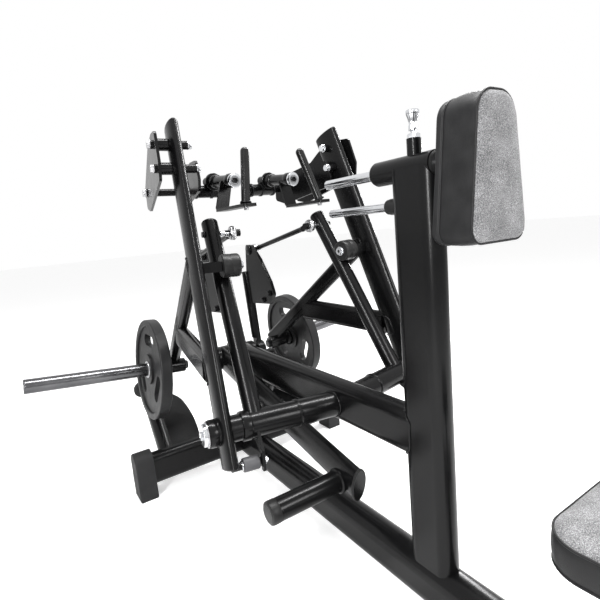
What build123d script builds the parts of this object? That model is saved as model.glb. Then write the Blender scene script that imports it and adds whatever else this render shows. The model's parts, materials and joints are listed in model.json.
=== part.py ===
from build123d import *
from math import atan2, cos, degrees, radians, sin, tan
import os

os.makedirs("parts", exist_ok=True)

# Plate-loaded, chest-supported seated row machine. Millimetres.
# Working frame: X to the user's right, Y forwards from the seat, Z up, floor at Z = 0,
# with the column's axis at X = 0, Y = 0. Parts are exported with the origin moved to
# the middle of the machine's length, MIDDLE_Y in front of the column.
MIDDLE_Y = 371.8

# ---- Driving dimensions ----
FRAME_THIN = 60  # flat-oval frame tube, across
FRAME_DEEP = 120  # flat-oval frame tube, along
FRAME_WALL = 4
GAP = 0.25  # between touching curved faces of separate parts
RUNNING = 0.05  # radial clearance of a shaft in its bore

RAIL_WIDE = 80
RAIL_Z = 80
REAR_FOOT_Y = -560
REAR_FOOT_HALF = 270
FRONT_FOOT_Y = 1000
FRONT_FOOT_HALF = 445
FOOT_Z = 100
COVER_LONG = 60
COVER_HIGH = 176

SLEEVE_Z = 1046  # upper guide rod of the chest pad
SLEEVE_R = 27
SLEEVE_BACK = -50
SLEEVE_FRONT = 113
GUIDE_Z = 971  # lower guide rod
UPPER_ROD_R = 12
LOWER_ROD_R = 10
ROD_FRONT = 305
PAD_BACK = -110  # front of the pad's backing board
PAD_THICK = 82
BOARD_THICK = 12
PAD_LOW = 886
PAD_HIGH = 1150
PAD_WIDE_LOW = 164
PAD_WIDE_HIGH = 100

BEAM_Z = 450
BEAM_FRONT = 1045
ROCKER_Y = 1010  # cross shaft of the foot lever, at the beam's front end
ROCKER_R = 15
ROCKER_X = 100

# Arm pivot axes leave the beam outwards, swept forwards and slightly up.
PIVOT_Y = 318
PIVOT_Z = 442
PIVOT_SWEEP = radians(8.4)
PIVOT_RISE = radians(1.6)
STUB_R = 35
STUB_OUT = 146
SHAFT_R = 18
START_S = 263  # offset of the start lever along the pivot axis
ARM_S = 348  # offset of the arm along the pivot axis
ARM_THIN = 38
ARM_DEEP = 100
ARM_LEAN = radians(20.2)
ARM_TOP = 864
ARM_TAIL = 95
START_LEAN = radians(29.1)
START_R = 25
START_LONG = 614
DIAGONAL_LOW = (757, 1)  # forward and up in the arm's plane
DIAGONAL_HIGH = (182, 413)
BRACE_BACK = (100, 139)
BRACE_FRONT = (505, 158)
CROSS_ROD = (512, 648)
CROSS_ROD_R = 12
BOLT_HIGH = (279, 757)
BOLT_LOW = (253, 687)
ROLLER = (159, 407)
ROLLER_R = 33
BALL = (272, 498)
BALL_S = 201

HORN_R = 25  # free length that takes more plates
HORN_CORE_R = 24  # inner length, under the loaded plate
HORN_RISE = radians(6)
HORN_ROOT = (222, 1090, 440)
HORN_LONG = 535
WEIGHT_R = 193
WEIGHT_THICK = 40
WEIGHT_OUT = 84  # from the horn's root to the plate's inner face

HANDLE_AXIS_X = 108
HANDLE_BACK = (HANDLE_AXIS_X, 643, 1106)
HANDLE_RISE = radians(6)
HANDLE_LONG = 150
HANDLE_PIN_R = 10

LEVER_X = -66
LEVER_BACK = (LEVER_X, 185, 268)
FOOT_BAR_Y = 250
FOOT_BAR_Z = 262
FOOT_BAR_R = 29
FOOT_BAR_OUT = -305

SEAT_Y = -440
SEAT_TOP = 470

pivot_axis = Vector(
    cos(PIVOT_SWEEP) * cos(PIVOT_RISE), sin(PIVOT_SWEEP) * cos(PIVOT_RISE), sin(PIVOT_RISE)
)
arm_forward = Vector(-sin(PIVOT_SWEEP), cos(PIVOT_SWEEP), 0)
arm_up = pivot_axis.cross(arm_forward)
pivot_origin = Vector(0, PIVOT_Y, PIVOT_Z)


def arm_point(out, forward, up):
    """A point of the right side from its offsets along the pivot axis and in the arm's plane."""
    return pivot_origin + pivot_axis * out + arm_forward * forward + arm_up * up


def arm_plane(out):
    """The plane across the pivot axis: X forwards, Y up, normal outwards."""
    return Plane(origin=arm_point(out, 0, 0), x_dir=arm_forward, z_dir=pivot_axis)


def leaning_plane(out, forward, up, lean):
    """A plane across a tube of the right side that leans forwards from the vertical by lean."""
    along = arm_forward * sin(lean) + arm_up * cos(lean)
    return Plane(origin=arm_point(out, forward, up), x_dir=pivot_axis, z_dir=along)


def plane_between(start, end, thin):
    """A plane at start that faces end, with its X along thin."""
    return Plane(origin=start, x_dir=thin, z_dir=Vector(*end) - Vector(*start))


def oval(plane, thin, deep):
    """A flat-oval outline, thin along the plane's X."""
    with BuildSketch(plane) as outline:
        SlotOverall(deep, thin, rotation=90)
    return outline.sketch


def ellipse(plane, thin, deep):
    """An elliptical outline, thin along the plane's X."""
    with BuildSketch(plane) as outline:
        Ellipse(thin / 2, deep / 2)
    return outline.sketch


def disc(plane, radius):
    with BuildSketch(plane) as outline:
        Circle(radius)
    return outline.sketch


def ring(plane, outer, inner):
    with BuildSketch(plane) as outline:
        Circle(outer)
        Circle(inner, mode=Mode.SUBTRACT)
    return outline.sketch


def outline_plate(plane, corners, rounding):
    """A plate outline from its corners, with the corners rounded."""
    with BuildSketch(plane) as outline:
        with BuildLine():
            FilletPolyline(*corners, radius=rounding, close=True)
        make_face()
    return outline.sketch


def shifted(plane, shift):
    """The same plane with its origin moved by a vector."""
    return Plane(origin=plane.origin + Vector(shift), x_dir=plane.x_dir, z_dir=plane.z_dir)


def distance(start, end):
    return (Vector(*end) - Vector(*start)).length


def export_part(name, part):
    """Writes one part, moved so that the origin is the middle of the machine on the floor."""
    placed = part.moved(Location((0, -MIDDLE_Y, 0)))
    placed.label = name
    export_step(placed, f"parts/{name}.step")


def export_pair(name, part):
    """Writes a part of the right side and its mirror image on the left."""
    export_part(f"{name}_right", part)
    export_part(f"{name}_left", mirror(part, about=Plane.YZ))


# ---- Envelopes that neighbouring tubes are coped to ----
rail_start = Plane.XZ.offset(-REAR_FOOT_Y)
with BuildPart() as front_foot_envelope:
    extrude(
        oval(
            Plane(origin=(-FRONT_FOOT_HALF, FRONT_FOOT_Y, FOOT_Z), x_dir=(0, 1, 0), z_dir=(1, 0, 0)),
            FRAME_THIN,
            FRAME_DEEP,
        ),
        amount=2 * FRONT_FOOT_HALF,
    )

with BuildPart() as rear_foot_envelope:
    extrude(
        oval(
            Plane(origin=(-REAR_FOOT_HALF, REAR_FOOT_Y, FOOT_Z), x_dir=(0, 1, 0), z_dir=(1, 0, 0)),
            FRAME_THIN,
            FRAME_DEEP,
        ),
        amount=2 * REAR_FOOT_HALF,
    )

with BuildPart() as rail_envelope:
    extrude(
        oval(
            Plane(origin=(0, REAR_FOOT_Y, RAIL_Z), x_dir=(1, 0, 0), z_dir=(0, 1, 0)),
            RAIL_WIDE,
            FRAME_DEEP,
        ),
        amount=FRONT_FOOT_Y - REAR_FOOT_Y,
    )

with BuildPart() as column_envelope:
    extrude(oval(Plane.XY.offset(RAIL_Z), FRAME_THIN, FRAME_DEEP), amount=SLEEVE_Z - RAIL_Z)

with BuildPart() as beam_envelope:
    extrude(
        oval(Plane(origin=(0, 0, BEAM_Z), x_dir=(1, 0, 0), z_dir=(0, 1, 0)), FRAME_THIN, FRAME_DEEP),
        amount=BEAM_FRONT,
    )

# ---- Base ----
with BuildPart() as front_foot:
    add(front_foot_envelope.part)
    extrude(
        oval(
            Plane(
                origin=(-FRONT_FOOT_HALF + 10, FRONT_FOOT_Y, FOOT_Z), x_dir=(0, 1, 0), z_dir=(1, 0, 0)
            ),
            FRAME_THIN - 2 * FRAME_WALL,
            FRAME_DEEP - 2 * FRAME_WALL,
        ),
        amount=2 * FRONT_FOOT_HALF - 20,
        mode=Mode.SUBTRACT,
    )
export_part("front_foot", front_foot.part)

with BuildPart() as rear_foot:
    add(rear_foot_envelope.part)
    extrude(
        oval(
            Plane(
                origin=(-REAR_FOOT_HALF + 10, REAR_FOOT_Y, FOOT_Z), x_dir=(0, 1, 0), z_dir=(1, 0, 0)
            ),
            FRAME_THIN - 2 * FRAME_WALL,
            FRAME_DEEP - 2 * FRAME_WALL,
        ),
        amount=2 * REAR_FOOT_HALF - 20,
        mode=Mode.SUBTRACT,
    )
export_part("rear_foot", rear_foot.part)

with BuildPart() as base_rail:
    add(rail_envelope.part)
    extrude(
        oval(
            Plane(origin=(0, REAR_FOOT_Y + 60, RAIL_Z), x_dir=(1, 0, 0), z_dir=(0, 1, 0)),
            RAIL_WIDE - 2 * FRAME_WALL,
            FRAME_DEEP - 2 * FRAME_WALL,
        ),
        amount=FRONT_FOOT_Y - REAR_FOOT_Y - 120,
        mode=Mode.SUBTRACT,
    )
    add(front_foot_envelope.part, mode=Mode.SUBTRACT)
    add(rear_foot_envelope.part, mode=Mode.SUBTRACT)
export_part("base_rail", base_rail.part)


def foot_cover(foot_half, foot_y):
    """A rubber shoe over the end of a foot tube, flat on the floor and round on top."""
    inner = foot_half - COVER_LONG + 15
    with BuildPart() as cover:
        with BuildSketch(Plane.YZ.offset(inner)):
            with BuildLine():
                Polyline(
                    (foot_y - 42, COVER_HIGH - 42),
                    (foot_y - 42, 0),
                    (foot_y + 42, 0),
                    (foot_y + 42, COVER_HIGH - 42),
                )
                ThreePointArc(
                    (foot_y + 42, COVER_HIGH - 42),
                    (foot_y, COVER_HIGH),
                    (foot_y - 42, COVER_HIGH - 42),
                )
            make_face()
        extrude(amount=COVER_LONG + 5)
        fillet(cover.faces().sort_by(Axis.X)[-1].edges(), radius=6)
        extrude(
            oval(
                Plane(origin=(inner, foot_y, FOOT_Z), x_dir=(0, 1, 0), z_dir=(1, 0, 0)),
                FRAME_THIN + 2 * GAP,
                FRAME_DEEP + 2 * GAP,
            ),
            amount=foot_half - inner + GAP,
            mode=Mode.SUBTRACT,
        )
    return cover.part


export_pair("front_cover", foot_cover(FRONT_FOOT_HALF, FRONT_FOOT_Y))
export_pair("rear_cover", foot_cover(REAR_FOOT_HALF, REAR_FOOT_Y))

# ---- Column, beam and front leg ----
with BuildPart() as column:
    add(column_envelope.part)
    extrude(
        oval(Plane.XY.offset(RAIL_Z + 66), FRAME_THIN - 2 * FRAME_WALL, FRAME_DEEP - 2 * FRAME_WALL),
        amount=SLEEVE_Z - RAIL_Z - 110,
        mode=Mode.SUBTRACT,
    )
    add(rail_envelope.part, mode=Mode.SUBTRACT)
    extrude(
        disc(shifted(Plane.XZ.offset(-200), (0, 0, SLEEVE_Z)), SLEEVE_R),
        amount=400,
        mode=Mode.SUBTRACT,
    )
    extrude(
        disc(shifted(Plane.XZ.offset(-200), (0, 0, GUIDE_Z)), LOWER_ROD_R + 8),
        amount=400,
        mode=Mode.SUBTRACT,
    )
export_part("column", column.part)

with BuildPart() as beam:
    add(beam_envelope.part)
    fillet(beam.faces().sort_by(Axis.Y)[-1].edges(), radius=8)
    extrude(
        oval(
            Plane(origin=(0, 70, BEAM_Z), x_dir=(1, 0, 0), z_dir=(0, 1, 0)),
            FRAME_THIN - 2 * FRAME_WALL,
            FRAME_DEEP - 2 * FRAME_WALL,
        ),
        amount=BEAM_FRONT - 150,
        mode=Mode.SUBTRACT,
    )
    add(column_envelope.part, mode=Mode.SUBTRACT)
    extrude(
        disc(shifted(Plane.YZ.offset(-50), (0, ROCKER_Y, BEAM_Z)), ROCKER_R + RUNNING),
        amount=100,
        mode=Mode.SUBTRACT,
    )
export_part("beam", beam.part)

leg_top = (0, 760, BEAM_Z)
leg_foot = (0, 950, RAIL_Z)
leg_plane = plane_between(leg_top, leg_foot, (1, 0, 0))
with BuildPart() as front_leg:
    extrude(oval(leg_plane, FRAME_THIN, 100), amount=distance(leg_top, leg_foot))
    extrude(
        oval(leg_plane.offset(75), FRAME_THIN - 2 * FRAME_WALL, 100 - 2 * FRAME_WALL),
        amount=distance(leg_top, leg_foot) - 150,
        mode=Mode.SUBTRACT,
    )
    add(beam_envelope.part, mode=Mode.SUBTRACT)
    add(rail_envelope.part, mode=Mode.SUBTRACT)
    add(front_foot_envelope.part, mode=Mode.SUBTRACT)
export_part("front_leg", front_leg.part)

# ---- Arm pivots ----
with BuildPart() as pivot_stub:
    extrude(disc(arm_plane(0), STUB_R), amount=STUB_OUT)
    extrude(disc(arm_plane(0), STUB_R - 6), amount=STUB_OUT - 12, mode=Mode.SUBTRACT)
    add(beam_envelope.part, mode=Mode.SUBTRACT)
export_pair("pivot_stub", pivot_stub.part)

with BuildPart() as pivot_shaft:
    extrude(disc(arm_plane(STUB_OUT), SHAFT_R), amount=394 - STUB_OUT)
export_pair("pivot_shaft", pivot_shaft.part)

with BuildPart() as hub_cap:
    extrude(disc(arm_plane(394), 29), amount=10)
    fillet(hub_cap.faces().sort_by(Axis.X)[-1].edges(), radius=3)
    with BuildSketch(arm_plane(404)):
        RegularPolygon(8, 6)
    extrude(amount=-6, mode=Mode.SUBTRACT)
export_pair("hub_cap", hub_cap.part)

# ---- Buffer posts on the front foot ----
post_foot = (335, FRONT_FOOT_Y, FOOT_Z)
post_top = (313, 1300, 305)
post_plane = plane_between(post_foot, post_top, (1, 0, 0))
gusset_plane = Plane(origin=post_foot, x_dir=post_plane.x_dir, z_dir=post_plane.y_dir * -1)
with BuildPart() as buffer_post:
    extrude(ellipse(post_plane, 56, 74), amount=distance(post_foot, post_top))
    extrude(
        ellipse(post_plane.offset(80), 48, 66),
        amount=distance(post_foot, post_top) - 90,
        mode=Mode.SUBTRACT,
    )
    with BuildSketch(gusset_plane):
        with BuildLine():
            Polyline((-15, 340), (-15, 30), (-142, 30), (-142, 60))
            ThreePointArc((-142, 60), (-146, 175), (-128, 265))
            ThreePointArc((-128, 265), (-85, 318), (-15, 340))
        make_face()
    extrude(amount=4, both=True)
    add(front_foot_envelope.part, mode=Mode.SUBTRACT)
export_pair("buffer_post", buffer_post.part)

with BuildPart() as buffer_disc:
    disc_plane = plane_between(post_top, tuple(Vector(*post_top) * 2 - Vector(*post_foot)), (1, 0, 0))
    extrude(disc(disc_plane, 52), amount=22)
    fillet(buffer_disc.edges().filter_by(GeomType.CIRCLE), radius=5)
export_pair("buffer_disc", buffer_disc.part)

# ---- Chest pad guides ----
with BuildPart() as rod_sleeve:
    sleeve_plane = Plane(origin=(0, SLEEVE_BACK, SLEEVE_Z), x_dir=(1, 0, 0), z_dir=(0, 1, 0))
    extrude(disc(sleeve_plane, SLEEVE_R - GAP / 2), amount=SLEEVE_FRONT - SLEEVE_BACK)
    extrude(disc(shifted(Plane.XY.offset(SLEEVE_Z), (0, 5, 0)), 15), amount=58)
    extrude(
        disc(sleeve_plane, UPPER_ROD_R + RUNNING),
        amount=SLEEVE_FRONT - SLEEVE_BACK,
        mode=Mode.SUBTRACT,
    )
    extrude(
        disc(shifted(Plane.XY.offset(SLEEVE_Z), (0, 5, 0)), 5 + RUNNING),
        amount=58,
        mode=Mode.SUBTRACT,
    )
export_part("rod_sleeve", rod_sleeve.part)

with BuildPart() as guide_bush:
    bush_plane = Plane(origin=(0, -68, GUIDE_Z), x_dir=(1, 0, 0), z_dir=(0, 1, 0))
    extrude(disc(bush_plane, LOWER_ROD_R + 8 - GAP / 2), amount=146)
    extrude(disc(bush_plane, LOWER_ROD_R + RUNNING), amount=146, mode=Mode.SUBTRACT)
export_part("guide_bush", guide_bush.part)



def pad_outline(inset):
    """The chest pad's outline, narrow and round at the top, drawn in by inset."""
    low = PAD_LOW + inset
    high = PAD_HIGH - inset
    with BuildSketch(Plane(origin=(0, PAD_BACK, 0), x_dir=(1, 0, 0), z_dir=(0, -1, 0))) as outline:
        with BuildLine():
            Polyline(
                (-PAD_WIDE_LOW / 2 + inset, low),
                (PAD_WIDE_LOW / 2 - inset, low),
                (PAD_WIDE_HIGH / 2 - inset, high),
                (-PAD_WIDE_HIGH / 2 + inset, high),
                close=True,
            )
        make_face()
        fillet(outline.vertices().sort_by(Axis.Y)[:2], radius=26)
        fillet(outline.vertices().sort_by(Axis.Y)[-2:], radius=40)
    return outline.sketch


with BuildPart() as pad_carriage:
    extrude(
        disc(Plane(origin=(0, PAD_BACK, SLEEVE_Z), x_dir=(1, 0, 0), z_dir=(0, 1, 0)), UPPER_ROD_R),
        amount=ROD_FRONT - PAD_BACK,
    )
    extrude(
        disc(Plane(origin=(0, PAD_BACK, GUIDE_Z), x_dir=(1, 0, 0), z_dir=(0, 1, 0)), LOWER_ROD_R),
        amount=ROD_FRONT - PAD_BACK - 8,
    )
    extrude(pad_outline(4), amount=-BOARD_THICK)
export_part("pad_carriage", pad_carriage.part)

with BuildPart() as chest_pad:
    extrude(pad_outline(0), amount=PAD_THICK)
    fillet(chest_pad.faces().sort_by(Axis.Y)[0].edges(), radius=10)
export_part("chest_pad", chest_pad.part)

with BuildPart() as pad_pin:
    extrude(disc(shifted(Plane.XY.offset(SLEEVE_Z + UPPER_ROD_R + 1), (0, 5, 0)), 5), amount=56)
    extrude(disc(shifted(Plane.XY.offset(SLEEVE_Z + 58.5), (0, 5, 0)), 12), amount=9)
    extrude(disc(shifted(Plane.XY.offset(SLEEVE_Z + 67), (0, 5, 0)), 6), amount=26)
    extrude(disc(shifted(Plane.XY.offset(SLEEVE_Z + 92), (0, 5, 0)), 14), amount=22)
export_part("pad_pin", pad_pin.part)

# ---- Seat ----
with BuildPart() as seat_post:
    seat_plane = shifted(Plane.XY.offset(RAIL_Z), (0, SEAT_Y, 0))
    extrude(disc(seat_plane, 36), amount=270)
    extrude(disc(seat_plane.offset(60), 27 + RUNNING), amount=210, mode=Mode.SUBTRACT)
    boss_plane = Plane(origin=(0, SEAT_Y, 310), x_dir=(1, 0, 0), z_dir=(0, -1, 0))
    extrude(disc(boss_plane.offset(30), 14), amount=32)
    extrude(disc(boss_plane.offset(20), 5 + RUNNING), amount=42, mode=Mode.SUBTRACT)
    add(rail_envelope.part, mode=Mode.SUBTRACT)
export_part("seat_post", seat_post.part)

with BuildPart() as seat_stem:
    extrude(disc(shifted(Plane.XY.offset(222), (0, SEAT_Y, 0)), 27), amount=170)
    with BuildSketch(shifted(Plane.XY.offset(392), (0, SEAT_Y, 0))):
        RectangleRounded(180, 180, 15)
    extrude(amount=8)
export_part("seat_stem", seat_stem.part)

with BuildPart() as seat_pad:
    with BuildSketch(shifted(Plane.XY.offset(400), (0, SEAT_Y, 0))):
        RectangleRounded(270, 250, 60)
    extrude(amount=SEAT_TOP - 400)
    fillet(seat_pad.faces().sort_by(Axis.Z)[-1].edges(), radius=14)
export_part("seat_pad", seat_pad.part)

with BuildPart() as seat_pin:
    extrude(disc(boss_plane.offset(28), 5), amount=60)
    extrude(disc(boss_plane.offset(62.5), 10), amount=14)
    extrude(disc(boss_plane.offset(80), 14), amount=20)
export_part("seat_pin", seat_pin.part)

# ---- Foot lever, rockers and link rods ----
lever_top = (LEVER_X, ROCKER_Y, BEAM_Z)
lever_plane = plane_between(lever_top, LEVER_BACK, (1, 0, 0))
with BuildPart() as foot_lever:
    extrude(ellipse(lever_plane, 40, 96), amount=distance(lever_top, LEVER_BACK))
    extrude(
        ellipse(lever_plane.offset(70), 32, 88),
        amount=distance(lever_top, LEVER_BACK) - 78,
        mode=Mode.SUBTRACT,
    )
    extrude(disc(shifted(Plane.YZ.offset(LEVER_X - 25), (0, ROCKER_Y, BEAM_Z)), 46), amount=58)
    extrude(disc(shifted(Plane.YZ.offset(-125), (0, ROCKER_Y, BEAM_Z)), ROCKER_R), amount=250)
export_part("foot_lever", foot_lever.part)

bar_plane = shifted(Plane.YZ.offset(LEVER_X), (0, FOOT_BAR_Y, FOOT_BAR_Z))
with BuildPart() as foot_bar:
    extrude(disc(bar_plane, FOOT_BAR_R), amount=FOOT_BAR_OUT - LEVER_X)
    fillet(foot_bar.faces().sort_by(Axis.X)[0].edges(), radius=8)
    extrude(ellipse(lever_plane, 40 + 2 * GAP, 96 + 2 * GAP), amount=1200, mode=Mode.SUBTRACT)
export_part("foot_bar", foot_bar.part)

BOSS_Y = 988
BOSS_Z = 871
ROCKER_OUTLINE = [(1014, 893), (966, 890), (905, 836), (838, 748), (818, 700), (850, 660), (1000, 650), (1044, 700)]
rocker_foot = (ROCKER_X, ROCKER_Y, BEAM_Z)
rocker_head = (ROCKER_X, 1044, 780)
with BuildPart() as rocker:
    extrude(outline_plate(Plane.YZ.offset(ROCKER_X - 6), ROCKER_OUTLINE, 13), amount=12)
    extrude(disc(plane_between(rocker_foot, rocker_head, (1, 0, 0)), 19), amount=distance(rocker_foot, rocker_head))
    extrude(disc(shifted(Plane.YZ.offset(ROCKER_X - 8), (0, ROCKER_Y, BEAM_Z)), 34), amount=30)
    extrude(disc(shifted(Plane.YZ.offset(ROCKER_X), (0, BOSS_Y, BOSS_Z)), 9), amount=34)
    extrude(
        disc(shifted(Plane.YZ.offset(ROCKER_X - 40), (0, ROCKER_Y, BEAM_Z)), ROCKER_R + GAP / 5),
        amount=80,
        mode=Mode.SUBTRACT,
    )
    extrude(
        disc(shifted(Plane.YZ.offset(ROCKER_X - 8), (0, ROCKER_Y, BEAM_Z)), 52),
        amount=-30,
        mode=Mode.SUBTRACT,
    )
export_pair("rocker", rocker.part)

ball_point = arm_point(BALL_S, *BALL)
boss_point = Vector(ROCKER_X + 20, BOSS_Y, BOSS_Z)
rod_plane = Plane(origin=boss_point, x_dir=(0, 0, 1), z_dir=ball_point - boss_point)
rod_long = (ball_point - boss_point).length
with BuildPart() as link_rod:
    extrude(disc(rod_plane.offset(14), 9), amount=rod_long - 28)
    extrude(disc(shifted(Plane.YZ.offset(ROCKER_X + 14), (0, BOSS_Y, BOSS_Z)), 20), amount=12)
    extrude(disc(shifted(arm_plane(BALL_S - 7), arm_forward * BALL[0] + arm_up * BALL[1]), 20), amount=14)
    extrude(
        disc(shifted(Plane.YZ.offset(ROCKER_X - 10), (0, BOSS_Y, BOSS_Z)), 12),
        amount=80,
        mode=Mode.SUBTRACT,
    )
    extrude(
        disc(shifted(arm_plane(BALL_S - 30), arm_forward * BALL[0] + arm_up * BALL[1]), 12),
        amount=60,
        mode=Mode.SUBTRACT,
    )
export_pair("link_rod", link_rod.part)

# ---- Start levers ----
with BuildPart() as start_lever:
    extrude(disc(arm_plane(STUB_OUT + 1), STUB_R), amount=304 - STUB_OUT - 1)
    extrude(disc(arm_plane(282), STUB_R + 3), amount=22)
    extrude(disc(leaning_plane(START_S, 0, 0, START_LEAN), START_R), amount=START_LONG)
    fillet(start_lever.faces().sort_by(Axis.Z)[-1].edges(), radius=7)
    with BuildSketch(arm_plane(264)):
        Polygon((-26, 4), (-63, -50), (-63, -104), (-50.3, -104), (-50.3, -62), (8, -30), align=None)
    extrude(amount=8)
    ball_plane = shifted(arm_plane(BALL_S - 16), arm_forward * BALL[0] + arm_up * BALL[1])
    extrude(disc(ball_plane, 7), amount=START_S - BALL_S + 16)
    extrude(disc(ball_plane.offset(-8), 11), amount=14)
    extrude(disc(arm_plane(STUB_OUT), SHAFT_R + RUNNING), amount=200, mode=Mode.SUBTRACT)
export_pair("start_lever", start_lever.part)

# ---- Arms ----
tail_plane = leaning_plane(
    ARM_S, -ARM_TAIL * sin(ARM_LEAN), -ARM_TAIL * cos(ARM_LEAN), ARM_LEAN
)
diagonal_run = Vector(*DIAGONAL_LOW) - Vector(*DIAGONAL_HIGH)
diagonal_lean = atan2(diagonal_run.X, diagonal_run.Y)
diagonal_plane = leaning_plane(ARM_S, *DIAGONAL_HIGH, diagonal_lean)
brace_run = Vector(*BRACE_FRONT) - Vector(*BRACE_BACK)
brace_plane = leaning_plane(ARM_S, *BRACE_BACK, atan2(brace_run.X, brace_run.Y))

with BuildPart() as arm_tube_envelope:
    extrude(ellipse(tail_plane, ARM_THIN, ARM_DEEP), amount=ARM_TAIL + ARM_TOP)
with BuildPart() as diagonal_envelope:
    extrude(oval(diagonal_plane, ARM_THIN, 58), amount=diagonal_run.length)

with BuildPart() as arm:
    add(arm_tube_envelope.part)
    fillet(arm.faces().sort_by(Axis.Z)[-1].edges(), radius=5)
    fillet(arm.faces().sort_by(Axis.Z)[0].edges(), radius=5)
    extrude(
        ellipse(tail_plane.offset(150), ARM_THIN - 7, ARM_DEEP - 7),
        amount=ARM_TAIL + ARM_TOP - 165,
        mode=Mode.SUBTRACT,
    )
    extrude(disc(arm_plane(305.5), 34), amount=390 - 305.5)
    extrude(disc(shifted(arm_plane(260), arm_forward * -40 + arm_up * -85), 10), amount=ARM_S - 260)
    extrude(disc(shifted(arm_plane(276), arm_forward * -40 + arm_up * -85), 17), amount=42)
    with BuildSketch(shifted(arm_plane(278), arm_forward * (ROLLER[0] - 7) + arm_up * ROLLER[1])):
        Rectangle(28, 28)
    extrude(amount=ARM_S - 278)
    extrude(
        disc(shifted(arm_plane(214), arm_forward * ROLLER[0] + arm_up * ROLLER[1]), 8),
        amount=ARM_S - 214,
    )
    extrude(disc(arm_plane(300), SHAFT_R + RUNNING), amount=100, mode=Mode.SUBTRACT)
    extrude(
        disc(shifted(arm_plane(300), arm_forward * BOLT_HIGH[0] + arm_up * BOLT_HIGH[1]), 7),
        amount=100,
        mode=Mode.SUBTRACT,
    )
    extrude(
        disc(shifted(arm_plane(300), arm_forward * BOLT_LOW[0] + arm_up * BOLT_LOW[1]), 7),
        amount=100,
        mode=Mode.SUBTRACT,
    )
export_pair("arm", arm.part)

horn_direction = Vector(cos(HORN_RISE), 0, sin(HORN_RISE))
horn_plane = Plane(origin=HORN_ROOT, x_dir=(0, 1, 0), z_dir=horn_direction)
with BuildPart() as diagonal:
    add(diagonal_envelope.part)
    extrude(
        oval(diagonal_plane.offset(70), ARM_THIN - 7, 51),
        amount=diagonal_run.length - 160,
        mode=Mode.SUBTRACT,
    )
    add(arm_tube_envelope.part, mode=Mode.SUBTRACT)
    extrude(disc(horn_plane.offset(-40), HORN_CORE_R + GAP / 2), amount=100, mode=Mode.SUBTRACT)
export_pair("diagonal", diagonal.part)

with BuildPart() as brace:
    extrude(oval(brace_plane, ARM_THIN, 82), amount=brace_run.length)
    extrude(
        oval(brace_plane.offset(80), ARM_THIN - 7, 75),
        amount=brace_run.length - 190,
        mode=Mode.SUBTRACT,
    )
    add(arm_tube_envelope.part, mode=Mode.SUBTRACT)
    add(diagonal_envelope.part, mode=Mode.SUBTRACT)
export_pair("brace", brace.part)

with BuildPart() as horn:
    extrude(disc(horn_plane.offset(-22), HORN_CORE_R), amount=HORN_LONG + 22)
    extrude(disc(horn_plane.offset(WEIGHT_OUT - 14), 36), amount=12)
    extrude(
        disc(horn_plane.offset(WEIGHT_OUT + WEIGHT_THICK + 2), HORN_R),
        amount=HORN_LONG - WEIGHT_OUT - WEIGHT_THICK - 2,
    )
    fillet(horn.faces().sort_by(Axis.X)[-1].edges(), radius=4)
export_pair("horn", horn.part)

weight_plane = horn_plane.offset(WEIGHT_OUT)
with BuildPart() as weight:
    extrude(disc(weight_plane, WEIGHT_R), amount=WEIGHT_THICK)
    fillet(weight.edges().filter_by(GeomType.CIRCLE), radius=5)
    for face in (weight_plane, weight_plane.offset(WEIGHT_THICK - 8)):
        extrude(ring(face, WEIGHT_R - 22, 58), amount=8, mode=Mode.SUBTRACT)
    with BuildSketch(weight_plane):
        with PolarLocations(112, 3, start_angle=90):
            SlotOverall(120, 44, rotation=90)
    extrude(amount=WEIGHT_THICK, mode=Mode.SUBTRACT)
    extrude(disc(weight_plane, HORN_R + 0.8), amount=WEIGHT_THICK, mode=Mode.SUBTRACT)
export_pair("weight", weight.part)

with BuildPart() as roller:
    roller_plane = shifted(arm_plane(222), arm_forward * ROLLER[0] + arm_up * ROLLER[1])
    extrude(disc(roller_plane, ROLLER_R), amount=54)
    fillet(roller.edges().filter_by(GeomType.CIRCLE), radius=4)
    extrude(disc(roller_plane, 8 + RUNNING), amount=54, mode=Mode.SUBTRACT)
export_pair("roller", roller.part)

# ---- Kite plates that carry the cross rod ----
KITE_OUTLINE = [(240, 786), (214, 700), (222, 652), (484, 586), (544, 598), (552, 664), (392, 766), (300, 790)]
INNER_OUTLINE = [(238, 655), (262, 712), (330, 716), (536, 682), (544, 606), (488, 588), (248, 625)]
with BuildPart() as kite:
    extrude(outline_plate(arm_plane(400), KITE_OUTLINE, 14), amount=8)
    extrude(outline_plate(arm_plane(290), INNER_OUTLINE, 14), amount=8)
    for bolt in (BOLT_HIGH, BOLT_LOW):
        bolt_shift = arm_forward * bolt[0] + arm_up * bolt[1]
        extrude(disc(shifted(arm_plane(300), bolt_shift), 7 - GAP / 2), amount=100)
        extrude(disc(shifted(arm_plane(ARM_S + ARM_THIN / 2 + 0.3), bolt_shift), 17), amount=34)
        extrude(disc(shifted(arm_plane(407), bolt_shift), 12), amount=8)
        extrude(disc(shifted(arm_plane(311), bolt_shift), 12), amount=17)
    extrude(
        disc(shifted(arm_plane(297), arm_forward * BOLT_LOW[0] + arm_up * BOLT_LOW[1]), 12),
        amount=20,
    )
    rod_shift = arm_forward * CROSS_ROD[0] + arm_up * CROSS_ROD[1]
    extrude(disc(shifted(arm_plane(288), rod_shift), CROSS_ROD_R), amount=124)
    extrude(disc(shifted(arm_plane(146), rod_shift), CROSS_ROD_R), amount=144)
    extrude(disc(shifted(arm_plane(136), rod_shift), 17), amount=11)
export_pair("kite", kite.part)

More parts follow.
